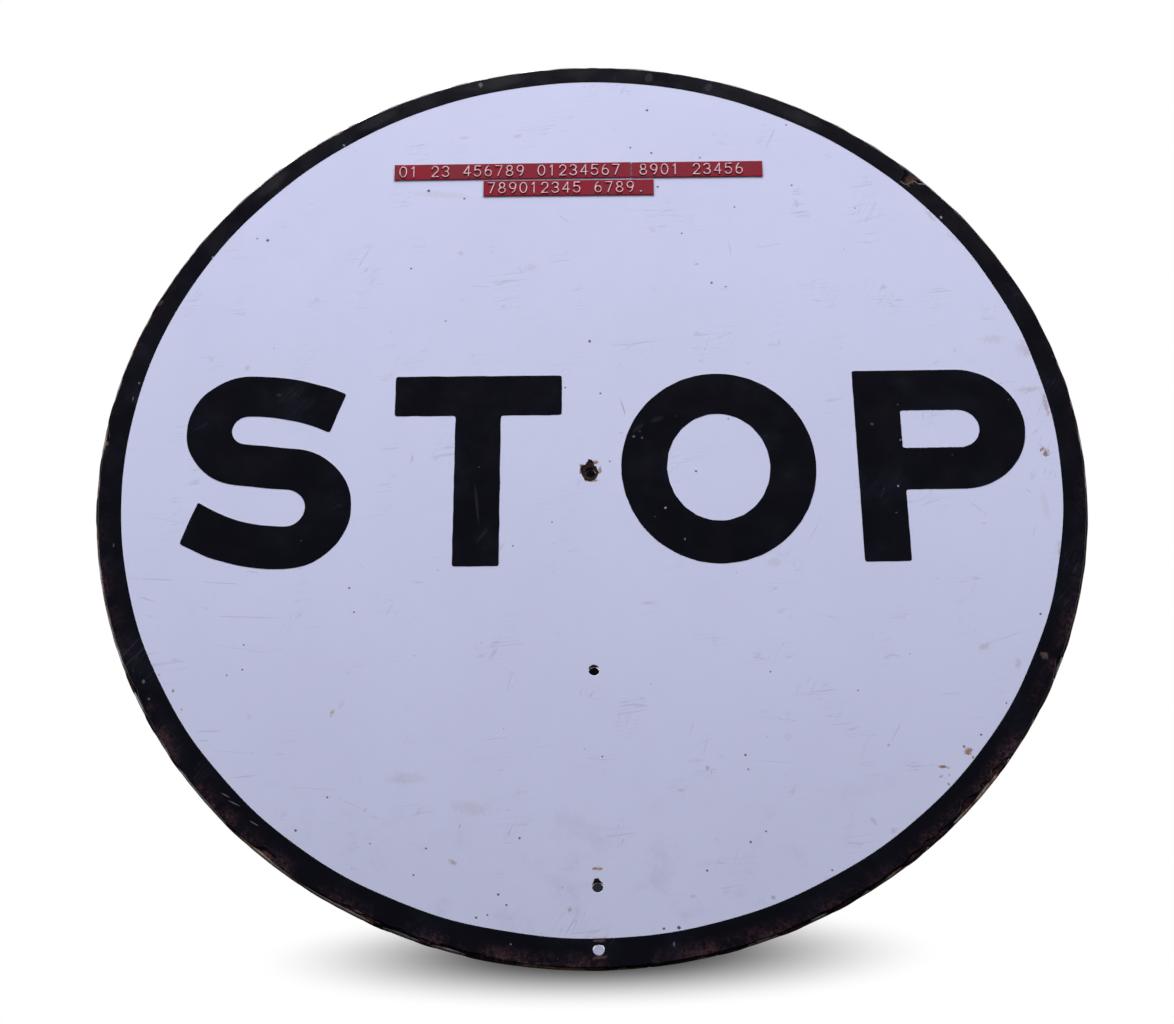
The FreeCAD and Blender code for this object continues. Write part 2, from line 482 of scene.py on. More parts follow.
def placed_group(tree, group, **inputs):
    node = tree.nodes.new("ShaderNodeGroup")
    node.node_tree = group
    for label, value in inputs.items():
        plug(tree, value, node.inputs[label.replace("_", " ")])
    return node.outputs


def noise(tree, vector, scale, detail=3.0, roughness=0.5):
    inputs = {"Vector": vector, "Scale": scale, "Detail": detail, "Roughness": roughness}
    return add(tree, "ShaderNodeTexNoise", inputs).outputs["Fac"]


def dressed(tree, shader, colour, roughness, height=None, strength=0.0, depth=0.0):
    """The shader gets its colour and roughness, and its relief if a height is given, depth in metres."""
    plug(tree, colour, shader.inputs["Base Color"])
    plug(tree, roughness, shader.inputs["Roughness"])
    if height is not None:
        relief = {"Height": height, "Strength": strength, "Distance": depth}
        plug(tree, add(tree, "ShaderNodeBump", relief).outputs["Normal"], shader.inputs["Normal"])


# ---- shared effects


def make_mark_group():
    """The distance to one stretched, turned mark, in its own half sizes, or to a nearer one handed in."""
    inputs = [("Place", "v"), ("Centre", "v"), ("Turn", "f"), ("Half Size", "v"), ("Nearest", "f")]
    group, i, o = new_group("mark", inputs, [("Nearest", "f")])
    turn = {"Vector": i["Place"], "Center": i["Centre"], "Angle": i["Turn"]}
    turned = add(group, "ShaderNodeVectorRotate", turn, rotation_type="Y_AXIS").outputs[0]
    away = vector_maths(group, "SUBTRACT", turned, i["Centre"])
    own = vector_maths(group, "DIVIDE", away, i["Half Size"])
    far = vector_maths(group, "LENGTH", own, output="Value")
    group.links.new(maths(group, "MINIMUM", i["Nearest"], far), o["Nearest"])
    return group


def make_speck_group():
    """Small scattered pits: cells of a Voronoi pattern, of which a share hold one speck each."""
    inputs = [("Place", "v"), ("Scale", "f"), ("Share", "f"), ("Size", "f")]
    group, i, o = new_group("specks", inputs, [("Mask", "f")])
    cells = add(group, "ShaderNodeTexVoronoi", {"Vector": i["Place"], "Scale": i["Scale"]}, feature="F1")
    shade = add(group, "ShaderNodeSeparateColor", {0: cells.outputs["Color"]}).outputs
    chosen = maths(group, "LESS_THAN", shade[0], i["Share"])
    reach = times(group, i["Size"], maths(group, "ADD", shade[1], 0.35))
    near = maths(group, "SUBTRACT", reach, cells.outputs["Distance"])
    spot = between(group, near, 0.0, 0.05)
    group.links.new(times(group, spot, chosen), o["Mask"])
    return group


def make_scratch_group():
    """Fine scratches one way: noise stretched along the turned x axis, cut to the thin band where it is
    near its middle value, and kept only in patches."""
    inputs = [("Place", "v"), ("Turn", "f"), ("Length", "f"), ("Fineness", "f"), ("Share", "f")]
    group, i, o = new_group("scratches", inputs, [("Mask", "f")])
    turn = {"Vector": i["Place"], "Angle": i["Turn"]}
    turned = add(group, "ShaderNodeVectorRotate", turn, rotation_type="Y_AXIS").outputs[0]
    scale = add(group, "ShaderNodeCombineXYZ", {"X": i["Length"], "Y": 0.0, "Z": i["Fineness"]}).outputs[0]
    long = vector_maths(group, "MULTIPLY", turned, scale)
    lines = noise(group, long, 1.0, 1.0, 0.4)
    off = maths(group, "ABSOLUTE", maths(group, "SUBTRACT", lines, 0.5))
    thin = between(group, off, 0.010, 0.002)
    patches = noise(group, i["Place"], 60.0, 3.0)
    kept = between(group, maths(group, "ADD", patches, i["Share"]), 1.0, 1.08)
    group.links.new(times(group, thin, kept), o["Mask"])
    return group


def make_rust_group():
    """Rust colours: dark brown pits through red-brown to orange bloom, in grains of under a millimetre."""
    group, i, o = new_group("rust", [("Place", "v")], [("Color", "c"), ("Grain", "f")])
    grain = noise(group, i["Place"], 1100.0, 6.0, 0.65)
    broad = noise(group, i["Place"], 260.0, 3.0)
    mixed = maths(group, "ADD", times(group, grain, 0.65), times(group, broad, 0.35))
    ramp = add(group, "ShaderNodeValToRGB", {"Fac": mixed})
    stops = ramp.color_ramp
    stops.elements[0].position, stops.elements[0].color = 0.34, (0.018, 0.010, 0.009, 1)
    stops.elements[1].position, stops.elements[1].color = 0.68, (0.60, 0.28, 0.085, 1)
    middle = stops.elements.new(0.50)
    middle.color = (0.13, 0.048, 0.022, 1)
    late = stops.elements.new(0.60)
    late.color = (0.38, 0.15, 0.042, 1)
    group.links.new(ramp.outputs["Color"], o["Color"])
    group.links.new(grain, o["Grain"])
    return group


def make_glaze_group():
    """Fired glass: a gloss that drifts between two roughnesses, and a faint orange-peel relief."""
    inputs = [("Place", "v"), ("Scale", "f"), ("Shiny", "f"), ("Dull", "f")]
    group, i, o = new_group("glaze", inputs, [("Roughness", "f"), ("Peel", "f")])
    drift = noise(group, i["Place"], i["Scale"], 4.0, 0.6)
    group.links.new(between(group, drift, 0.3, 0.8, i["Shiny"], i["Dull"]), o["Roughness"])
    group.links.new(noise(group, i["Place"], 330.0, 2.0, 0.4), o["Peel"])
    return group


MARK = make_mark_group()
SPECKS = make_speck_group()
SCRATCHES = make_scratch_group()
RUST = make_rust_group()
GLAZE = make_glaze_group()


def drawn_marks(tree, place, ragged_edge, marks, side):
    """A mask of marks, each (right, up, length, width, turn, strength) in mm and degrees. Marks of one
    strength share one mask: the distance to the nearest, in its own half sizes, plus raggedness, faded out
    round 1."""
    hand = 1 if side == FRONT else -1
    total = add(tree, "ShaderNodeValue").outputs[0]
    total.default_value = 0.0
    for strength in sorted({mark[5] for mark in marks}):
        nearest = 9.0
        for right, up, length, width, turn, _ in (mark for mark in marks if mark[5] == strength):
            nearest = placed_group(
                tree,
                MARK,
                Place=place,
                Centre=(hand * right * MM, 0, up * MM),
                Turn=math.radians(hand * turn),
                Half_Size=(length / 2 * MM, 1, width / 2 * MM),
                Nearest=nearest,
            )["Nearest"]
        mask = between(tree, maths(tree, "ADD", nearest, ragged_edge), 1.15, 0.55)
        total = larger(tree, total, times(tree, mask, strength))
    return total


# ---- finishes

WHITE = (0.690, 0.706, 0.935, 1)
WHITE_SHADE = (0.640, 0.652, 0.870, 1)
BLACK = (0.0028, 0.0027, 0.0058, 1)
INK = (0.045, 0.043, 0.06, 1)
TEA = (0.34, 0.25, 0.23, 1)
# Painted shade tone for the white field towards the bottom
LOWER_PAINTED_SHADE = (0.33, 0.335, 0.47, 1)
DIRT = (0.30, 0.29, 0.34, 1)
SCRATCH_GREY = (0.16, 0.155, 0.21, 1)
RUST_BLOOM = (0.42, 0.18, 0.065, 1)
RUST_SCALE = (0.040, 0.021, 0.020, 1)
RUST_DULL = (0.085, 0.040, 0.046, 1)
# A bluish lift for the black: partly haze on the glass, partly painted sheen
HAZE_AND_SHEEN = (0.05, 0.05, 0.10, 1)
# Pale colour for flecks on the black, and for the painted sheen streaks on the border
DUST_AND_SHEEN = (0.55, 0.54, 0.62, 1)
PEEL_DEPTH = 0.00001


def graded(rows):
    """Marks in their full form, from rows kept by strength."""
    return [(*row, strength) for strength, group in rows.items() for row in group]


# Marks are (right, up, length, width, turn) by strength, in mm and degrees. Specks are (right, up, across).
FRONT_SPECKS = (
    (133.2, -49.4, 0.9), (22, 116.7, 0.9), (15, 119, 0.8), (21, 133.8, 1.1), (0.4, 46, 1.1),
    (67.3, 126.8, 0.7), (38, 114.5, 0.7), (23.7, 103.4, 0.9), (67.8, 103, 0.8), (48.6, 95, 0.7),
    (88, 93.7, 0.6), (31, 85.3, 0.7), (40, 66.5, 0.9), (44.5, 65, 0.7), (32.5, -0.3, 0.9),
    (43.2, 17.5, 0.6), (3.5, 27.3, 0.8), (6, 3.6, 0.7), (43.4, -91.3, 0.8), (44, -95.6, 0.6),
    (48.2, -114, 0.7), (43.7, -117, 0.9), (31, -125, 0.8), (18.3, -141.2, 0.9), (22.5, -141, 1.2),
    (77.3, -72.3, 0.6), (52, -66, 0.6), (2, -91, 0.6), (-22, -114.7, 0.8), (-28, -130.8, 0.9),
    (-25.7, -133.8, 0.7), (-31, -136.5, 0.7), (-34.2, -137.2, 0.8), (-48.6, -117.2, 0.7),
    (-52, -124.8, 0.7), (-64.6, -115.5, 0.6), (-86, -111.3, 0.9), (-77.3, -101.7, 0.7),
    (-73.2, -37, 0.8), (-71.5, -44.8, 0.7), (-104, -62.4, 0.7), (-108.5, -64, 0.6), (-104, -54.6, 0.6),
    (-51.8, 103.6, 1.3), (-40, 100.3, 0.8), (-104, 85.7, 1.3), (-107.5, 86.5, 0.6), (-57, 74, 0.8),
    (-45.5, 54.3, 0.7), (-24, -24.2, 0.6), (-12, -16.6, 0.6), (-7.5, 29.6, 0.7), (120.3, -77, 0.7),
    (112, -86.5, 0.8), (66.3, -125.5, 0.7),
)
FRONT_SCRATCHES = graded({
    0.25: (
        (-133, -44.8, 6.5, 0.4, -14), (-104, -56, 22, 0.35, -10), (-106, -87.6, 12, 0.35, -5),
        (-82, -99, 18, 0.35, -4), (-71, -103.5, 9, 0.4, -24), (46.4, 79.5, 9, 0.6, -82),
        (59, 80, 12, 0.5, 10), (121, -57, 21, 0.5, 18), (83.1, -55.5, 5, 0.4, -85),
        (71, -49, 9, 0.4, -14), (104, -12.2, 13, 0.5, 20), (134.2, -22.5, 5.5, 0.5, 72),
        (52, -93.5, 16, 0.3, -4), (32, -88.5, 7.5, 0.5, 72), (28.2, -83, 6, 0.5, 70),
        (-69.5, -30, 5.5, 0.4, -40), (141, 1.5, 3.4, 0.4, 24), (141.2, -3.2, 3, 0.35, 24),
        (-130, -13.5, 16, 0.35, -12),
    ),
    0.5: (
        (139.3, 6.2, 3.4, 0.35, -52), (141.4, 4.4, 3, 0.35, -50), (139.6, -2.6, 3.6, 0.3, 66),
        (141.2, -3.4, 3.8, 0.3, 66), (142.6, -4, 3.4, 0.3, 64), (118, -14.5, 8, 0.4, -44),
        (96, -15.2, 5, 0.3, 20), (102.5, -12.6, 5, 0.3, 26), (9.6, 13.3, 2.6, 0.5, 12),
        (-34.5, 66.9, 7, 0.35, -4), (-52.6, -35.5, 4.8, 0.5, -6), (-102.5, -31.2, 5, 0.4, -4),
        (-132, -33, 13, 0.5, -4), (-112, -34.6, 15, 0.4, -5), (-134, -39.4, 6.8, 0.6, -20),
        (-103, -45.8, 24, 0.4, -3), (-112.6, -81.2, 9, 0.5, 1), (-114, -84, 4, 0.45, 4),
        (-101.8, -95.1, 7.5, 0.5, 6), (-63.5, -108, 3.2, 0.35, -20), (-9.2, -123.8, 2.6, 0.35, 0),
        (-7.4, 91.8, 5.4, 0.45, -41), (88.5, -61.5, 5.2, 0.4, -12), (133.8, -9, 2.6, 0.5, -50),
        (109.5, 36, 3.6, 0.4, 38), (87.6, -85, 8.5, 0.4, 60), (129, 28, 2.4, 0.4, 34),
    ),
    0.9: (
        (140.4, 5.2, 3.8, 0.35, -50), (10.4, 22.6, 7, 0.45, -75), (-66.4, -105.7, 2, 0.4, 50),
        (-39.1, -110.8, 1.8, 0.4, 72), (35.5, 73.6, 1.8, 0.7, 4),
    ),
})
FRONT_SMEARS = graded({
    0.25: (
        (137, 41, 7, 5, 70), (128, 44, 9, 4, 0), (138.5, -14, 2.2, 14, 4), (119, 82, 7, 3, -50),
        (-74, -73.5, 4, 1.5, 60), (-36.5, -105.5, 14, 5, -12), (-55, -96.5, 13, 4, 0),
        (-48, 102, 22, 3, -6), (21.5, 87, 3, 1.6, -40), (56, -86, 2.4, 2.6, 0), (-18, 73.5, 5, 3, 0),
        (55, -31, 5, 4, 30),
    ),
    0.5: (
        (138.6, 39.5, 5.5, 4.5, 70), (138, 25.8, 9, 2.6, 4), (112.3, 90.5, 7.5, 2.2, -60),
        (109, 96, 3, 1.4, -45), (-22.6, 124.5, 4, 1.8, 0), (-40, 124.2, 3.6, 1.6, 6),
        (-41, 79.3, 2.6, 2, -20), (-108, 38.6, 2, 2.2, 0), (-55.2, 6, 4.6, 1.2, 82),
        (115.5, -59.5, 4.5, 2.6, 20), (125, -65, 4, 2.4, 80), (79, -111.5, 3.8, 1.6, -60),
        (84.5, -114.5, 3.4, 1.6, 40), (26.8, -132.3, 2.2, 1.4, 10), (24.4, -101.5, 2.6, 1.2, 0),
        (0.2, -143.6, 9, 1, 0), (141, -29, 7, 1, 84), (119.3, -19.6, 1.8, 1, 0),
    ),
    0.9: (
        (142.3, 20.5, 10, 2, -82), (-76.8, -76.2, 2.8, 1.4, 70), (-41, -121.3, 3.6, 1.6, -30),
        (-8, -135.5, 2.2, 1.6, 60), (49.3, -133, 1.6, 1.4, 0), (32.3, -95, 1.7, 1.6, -30),
    ),
})
FRONT_RUST = graded({
    0.5: (
        (99.3, -98.8, 1.8, 0.9, 20), (101.7, -98.3, 1.3, 0.8, -40), (-128.5, -63.5, 0.9, 0.8, 0),
        (-121.2, -74.4, 0.8, 1, 0), (85.1, -89, 1.2, 0.9, 40),
    ),
    0.9: (
        (140.6, 3.6, 3.4, 2.4, 50), (139.4, 4.8, 2, 1.2, 50), (107.9, -91.4, 3.2, 2.3, 35),
        (106.8, -90, 1.2, 1, 0), (109, -93.3, 1.4, 0.8, 60), (100.4, -95.9, 3.8, 1.1, -8),
        (101.4, -101, 0.9, 0.9, 0), (-124, -68.6, 0.9, 1.3, 0), (0.9, 3.3, 4.6, 2, 0),
        (-2.8, 2.2, 2.4, 1.8, 30), (-3, 0.3, 1.3, 2.8, -10), (0.4, -2.9, 4.4, 1.3, 0),
        (2.9, 0.6, 1.3, 3.6, 0), (0, -123.9, 3.4, 1.3, 0),
    ),
})


def scattered(seed, count, length, width, turn, strength, reach=140):
    """Marks for the unseen back, at seeded random places on the white field."""
    rng = np.random.default_rng(seed)
    marks = []
    for _ in range(count):
        away, at = reach * math.sqrt(rng.uniform()), rng.uniform(0, 2 * np.pi)
        marks.append(
            (away * math.cos(at), away * math.sin(at), rng.uniform(*length), rng.uniform(*width),
             rng.uniform(*turn), strength)
        )
    return marks


BACK_SPECKS = scattered(31, 26, (0.6, 1.2), (0.6, 1.1), (0, 180), 0.9)
BACK_SCRATCHES = scattered(32, 20, (3, 22), (0.3, 0.6), (-30, 30), 0.45)
BACK_SMEARS = scattered(33, 14, (2, 12), (1.5, 5), (-60, 60), 0.4)
BACK_RUST = [(0, 2.7, 3.2, 1.8, 0, 0.9), (0.5, -67.4, 2.2, 1.0, 10, 0.7), (-0.4, -126.1, 2.0, 1.2, 0, 0.8)]


def white_enamel(name, side, specks, scratches, smears, rust):
    """Glossy lavender-white glass, a little uneven in tone, with pits, scratches, stains and rust, and
    painted shade towards the bottom.
    """
    material, tree, shader, place = new_material(name)
    wobble = times(tree, maths(tree, "SUBTRACT", noise(tree, place, 1300.0, 6.0, 0.72), 0.44), 3.0)
    cloud = between(tree, noise(tree, place, 22.0, 4.0, 0.6), 0.35, 0.75)
    mottle = between(tree, noise(tree, place, 190.0, 4.0, 0.6), 0.42, 0.75)
    height = add(tree, "ShaderNodeSeparateXYZ", {0: place}).outputs["Z"]
    dirt = times(
        tree,
        between(tree, noise(tree, place, 75.0, 5.0, 0.7), 0.50, 0.80),
        between(tree, height, -0.075, -0.140),
    )
    # Painted shade: the white goes smoothly darker and bluer towards the bottom of the disc
    film = between(tree, height, 0.02, -0.15)
    brown = drawn_marks(tree, place, wobble, smears, side)
    hair = placed_group(tree, SCRATCHES, Place=place, Turn=0.12, Length=25.0, Fineness=420.0, Share=0.46)
    cross = placed_group(tree, SCRATCHES, Place=place, Turn=1.1, Length=30.0, Fineness=380.0, Share=0.42)
    lines = drawn_marks(tree, place, times(tree, wobble, 0.6), scratches, side)
    fine = times(tree, larger(tree, hair["Mask"], cross["Mask"]), 0.20)
    grey = larger(tree, fine, times(tree, lines, 0.62))
    pits = placed_group(tree, SPECKS, Place=place, Scale=300.0, Share=0.05, Size=0.09)["Mask"]
    dots = drawn_marks(tree, place, times(tree, wobble, 0.3), specks, side)
    rusted = drawn_marks(tree, place, wobble, rust, side)
    bloom = blended(tree, 0.35, placed_group(tree, RUST, Place=place)["Color"], RUST_BLOOM)
    colour = WHITE
    for mask, over in (
        (times(tree, cloud, 0.35), WHITE_SHADE),
        (times(tree, mottle, 0.16), WHITE_SHADE),
        (times(tree, dirt, 0.30), DIRT),
        (times(tree, film, 0.16), LOWER_PAINTED_SHADE),
        (times(tree, brown, 0.72), TEA),
        (grey, SCRATCH_GREY),
        (larger(tree, times(tree, pits, 0.5), times(tree, dots, 0.9)), INK),
        (rusted, bloom),
    ):
        colour = blended(tree, mask, colour, over)
    glaze = placed_group(tree, GLAZE, Place=place, Scale=40.0, Shiny=0.15, Dull=0.22)
    worn = larger(tree, larger(tree, rusted, brown), grey)
    rough = maths(tree, "ADD", glaze["Roughness"], times(tree, worn, 0.4))
    dressed(tree, shader, colour, rough, glaze["Peel"], 0.25, PEEL_DEPTH)
    shader.inputs["IOR"].default_value = 1.5
    return material


LETTER_FLECKS = (
    (22.7, -12.5, 0.9, 0.8, 0, 0.75), (28.3, -23, 0.6, 0.8, 20, 0.45), (13.6, 12, 1, 0.9, 0, 0.28),
    (16.2, 11.5, 0.8, 0.8, 0, 0.2), (94.2, -6.7, 0.8, 0.9, 0, 0.6), (96.1, 9, 0.6, 0.7, 0, 0.5),
    (87.8, 14.7, 1.2, 1, 0, 0.12), (93, -15.6, 1, 0.5, 10, 0.12), (21, 17.8, 5, 2, 20, 0.02),
    (15, 15, 5, 1.6, 40, 0.02), (-97.5, 28.8, 2, 1.2, 0, 0.04), (-35, -10, 1, 14, 5, 0.03),
)
# The first six rows are long faint pale marks along the top of the border: painted sheen streaks. The rest
# are flecks and scratches
BORDER_FLECKS_AND_SHEEN = (
    (-104, 107, 15, 4.5, 44, 0.025), (-70, 131.5, 17, 4.5, 28, 0.025), (-30, 145.8, 22, 5, 12, 0.02),
    (22, 147, 3, 4.5, -8, 0.05), (42, 142.5, 3, 4, -16, 0.05), (72, 130, 18, 5, -30, 0.02),
    (63.2, 130.5, 0.7, 0.9, 20, 0.35), (115.8, 89.5, 0.9, 1.4, 30, 0.55),
    (-121.5, 79.5, 0.8, 0.8, 0, 0.9), (-80.4, 122.2, 0.8, 1.3, 30, 0.5), (-98, -109, 0.3, 3.4, 60, 0.3),
    (-104, -103, 0.3, 4.2, 62, 0.3), (-106.6, -100.6, 0.3, 3.6, 60, 0.3), (-133, -65.5, 1, 1.4, 0, 0.25),
    (-131, -71, 0.8, 0.9, 0, 0.25), (-35, 145.5, 1.6, 2.2, 10, 0.3), (21, -145.6, 0.8, 1.6, 0, 0.2),
    (-24.5, -144.8, 0.7, 0.7, 0, 0.3), (-145.5, -21.5, 0.5, 1.6, 0, 0.16),
    (-143.5, 28.5, 0.6, 1.8, 0, 0.2), (-142, 34, 0.8, 1, 0, 0.3),
)
# Places where the black is gone over a wider patch, and rust shows: the same form as the other marks
RIM_RUST = graded({
    0.25: (
        (115.6, -98.4, 5, 1.3, 48), (108.8, -106.2, 5.5, 1.3, 46), (98.8, -115.8, 7, 1.1, 42),
        (0.2, -148.9, 5, 1.4, 0),
    ),
    0.5: (
        (107.6, 105, 8.5, 3.9, 45), (133, -62.5, 2.6, 2.2, -30), (-93.6, -118.8, 4, 2.4, -38),
        (-66, -136, 12, 1.2, -26), (-150.5, 13, 2, 1.4, 85), (-137.5, 63, 3, 1.4, 64),
        (0.2, -144.2, 4, 0.9, 0),
    ),
})


def black_enamel(name, side, flecks, rust, rim_wear):
    """Glossy black glass with a patchy haze that is partly painted sheen, dust-pale flecks with painted
    sheen streaks among them on the border, hair scratches and, where asked, rust from the rim.
    """
    material, tree, shader, place = new_material(name)
    wobble = times(tree, maths(tree, "SUBTRACT", noise(tree, place, 900.0, 5.0, 0.7), 0.46), 2.6)
    # Patchy bluish lift over the black: partly haze on the glass, partly painted sheen
    haze_and_sheen = between(tree, noise(tree, place, 60.0, 5.0, 0.65), 0.45, 0.85)
    colour = blended(tree, times(tree, haze_and_sheen, 0.12), BLACK, HAZE_AND_SHEEN)
    hair = placed_group(tree, SCRATCHES, Place=place, Turn=0.9, Length=30.0, Fineness=380.0, Share=0.42)
    dust = placed_group(tree, SPECKS, Place=place, Scale=260.0, Share=0.07, Size=0.10)
    fine = larger(tree, times(tree, hair["Mask"], 0.02), times(tree, dust["Mask"], 0.07))
    # Flecks, and on the border the painted sheen streaks, drawn in the pale dust colour
    drawn = drawn_marks(tree, place, times(tree, wobble, 0.35), flecks, side)
    colour = blended(tree, larger(tree, fine, times(tree, drawn, 0.8)), colour, DUST_AND_SHEEN)
    gone = drawn_marks(tree, place, wobble, rust, side) if rust else None
    if rim_wear:
        away = vector_maths(tree, "MULTIPLY", place, (1, 0, 1))
        radius = vector_maths(tree, "LENGTH", away, output="Value")
        patchy = noise(tree, place, 55.0, 6.0, 0.7)
        rim = (DISC_RADIUS - 0.1) * MM
        start = maths(tree, "SUBTRACT", rim + 0.0012, times(tree, patchy, 0.0034))
        past = between(tree, maths(tree, "SUBTRACT", radius, start), 0.0, 0.0006)
        creep = times(tree, past, rim_wear)
        gone = larger(tree, gone, creep) if rust else creep
        inward = between(tree, radius, rim - 0.0062, rim)
        height = add(tree, "ShaderNodeSeparateXYZ", {0: place}).outputs["Z"]
        low_down = between(tree, height, 0.02, -0.08, 0.15, 1.0)
        grains = between(tree, noise(tree, place, 1000.0, 6.0, 0.75), 0.38, 0.66)
        patches = between(tree, noise(tree, place, 70.0, 4.0, 0.65), 0.38, 0.62)
        dull = times(tree, times(tree, inward, low_down), times(tree, grains, patches))
        colour = blended(tree, times(tree, dull, 0.9), colour, RUST_DULL)
    glaze = placed_group(tree, GLAZE, Place=place, Scale=90.0, Shiny=0.14, Dull=0.21)
    rough = glaze["Roughness"]
    if gone is not None:
        scale = blended(tree, 0.6, placed_group(tree, RUST, Place=place)["Color"], RUST_SCALE)
        colour = blended(tree, gone, colour, scale)
        bare = maths(tree, "MULTIPLY", gone, 3.0, clamp=True)
        rough = maths(tree, "ADD", rough, times(tree, bare, 0.6))
    dressed(tree, shader, colour, rough, glaze["Peel"], 0.3, PEEL_DEPTH)
    return material


def label_plastic(name):
    """Red embossing tape: the stretched plastic on the raised strokes has turned white, and the tape is
    darkened towards its edges with painted shade.
    """
    material, tree, shader, place = new_material(name)
    raised = add(tree, "ShaderNodeAttribute", attribute_name="raised").outputs["Fac"]
    edge = add(tree, "ShaderNodeAttribute", attribute_name="edge").outputs["Fac"]
    tone = between(tree, noise(tree, place, 320.0, 4.0, 0.6), 0.3, 0.8)
    red = blended(tree, tone, (0.27, 0.006, 0.022, 1), (0.19, 0.007, 0.022, 1))
    # Painted shade: darker red along the tape's edges
    red = blended(tree, times(tree, edge, 0.3), red, (0.10, 0.012, 0.022, 1))
    patchy = between(tree, noise(tree, place, 700.0, 3.0), 0.25, 0.62, 0.45, 1.0)
    white = times(tree, raised, patchy)
    colour = blended(tree, times(tree, white, 0.95), red, (0.86, 0.64, 0.72, 1))
    rough = maths(tree, "ADD", times(tree, tone, 0.12), 0.34)
    rough = maths(tree, "ADD", rough, times(tree, white, 0.2))
    dressed(tree, shader, colour, rough, noise(tree, place, 2400.0, 2.0), 0.15, 0.00003)
    shader.inputs["Specular IOR Level"].default_value = 0.15
    return material


def aged_adhesive(name):
    """A dull yellowed film with dust caught along its edge."""
    material, tree, shader, place = new_material(name)
    dust = between(tree, noise(tree, place, 1500.0, 5.0, 0.7), 0.35, 0.7)
    dressed(tree, shader, blended(tree, dust, (0.42, 0.36, 0.26, 1), (0.16, 0.13, 0.11, 1)), 0.7)
    return material


def rusty_steel(name):
    """The sheet under the enamel: grey mill finish going brown."""
    material, tree, shader, place = new_material(name)
    rust = placed_group(tree, RUST, Place=place)["Color"]
    mask = between(tree, noise(tree, place, 90.0, 5.0, 0.6), 0.4, 0.6)
    rough = maths(tree, "ADD", 0.35, times(tree, mask, 0.5))
    dressed(tree, shader, blended(tree, mask, (0.33, 0.32, 0.31, 1), rust), rough)
    plug(tree, maths(tree, "SUBTRACT", 1.0, mask), shader.inputs["Metallic"])
    return material


# ---- the enamelled body


def rim_profile():
    """Out from the front face, round the rim and in again at the back: half an oval, a little flat."""
    reach, turn = 1.3, np.linspace(np.pi / 2, -np.pi / 2, 17)
    bulge = np.sign(np.cos(turn)) * np.abs(np.cos(turn)) ** 0.75
    height = np.sign(np.sin(turn)) * np.abs(np.sin(turn)) ** 0.75
    rows = [(-reach - 0.6, GROUND_FACE)]
    rows += [(-reach + reach * b, GROUND_FACE * h) for b, h in zip(bulge, height)]
    return rows + [(-reach - 0.6, -GROUND_FACE)]


def hole_profile():
    """Down through a hole: a rolled edge at each face and a straight wall."""
    roll, turn = 0.3, np.linspace(0, np.pi / 2, 6)
    front = [(-roll * (1 - math.sin(t)), GROUND_FACE - roll * (1 - math.cos(t))) for t in turn]
    rows = [(-roll - 0.15, GROUND_FACE)] + front
    return rows + [(out, -height) for out, height in rows[::-1]]


def make_body(material):
    loops = [circle(rim_edge, step=0.7)]
    loops += [reversed_loop(circle(HOLE_RADIUS, (0, v), step=0.2)) for v in HOLES]
    profiles = [rim_profile()] + [hole_profile()] * len(HOLES)
    layer("enamelled_body", loops, profiles, 5.0, FRONT, material, ["ground_coat"])


def make_white_field(side, material):
    chipped = (centre_chip, clean_hole, staff_chip)
    shapes = chipped if side == FRONT else (staff_chip, clean_hole, clean_hole)
    loops = [circle(WHITE_RADIUS + 0.3, (0, WHITE_RISE))]
    loops += [reversed_loop(circle(shape, (0, v), step=0.2)) for shape, v in zip(shapes, HOLES)]
    edge = rolled_edge(WHITE_FACE, GROUND_FACE - BED, 0.12, 0.06)
    node = f"{side}_white_coat"
    layer(f"{side}_white_field", loops, [edge] * 4, 4.0, side, material, [node])


def make_border(side, material, seed):
    inner = hand_cut(circle(WHITE_RADIUS, (0, WHITE_RISE)), seed, 0.08)
    loops = [
        circle(lambda angle: border_edge(angle, seed), step=0.35),
        reversed_loop(inner),
        reversed_loop(circle(clean_hole, (0, HOLES[3]), step=0.15)),
    ]
    edge = rolled_edge(LETTER_FACE, GROUND_FACE - BED, 0.22, 0.10)
    layer(f"{side}_border_ring", loops, [edge] * 3, 2.0, side, material, [f"{side}_border"])


def make_letters(side, material, seed):
    edge = rolled_edge(LETTER_FACE, WHITE_FACE - BED, 0.14, 0.07)
    shapes = {"s": letter_s, "t": letter_t, "o": letter_o, "p": letter_p}
    for index, (letter, shape) in enumerate(shapes.items()):
        loops = [
            softened(hand_cut(softened(placed(loop, LETTER_PLACES[letter])), seed + 10 * index + k))
            for k, loop in enumerate(shape())
        ]
        name = f"{side}_enamel_{letter}"
        nodes = [f"{side}_letter_{letter}"]
        layer(name, loops, [edge] * len(loops), 3.0, side, material, nodes)


# ---- label tape with embossed numerals


def bow(x, y, rx, ry, start, end):
    return sweep((x, y), (rx, ry), start, end, step=0.05)


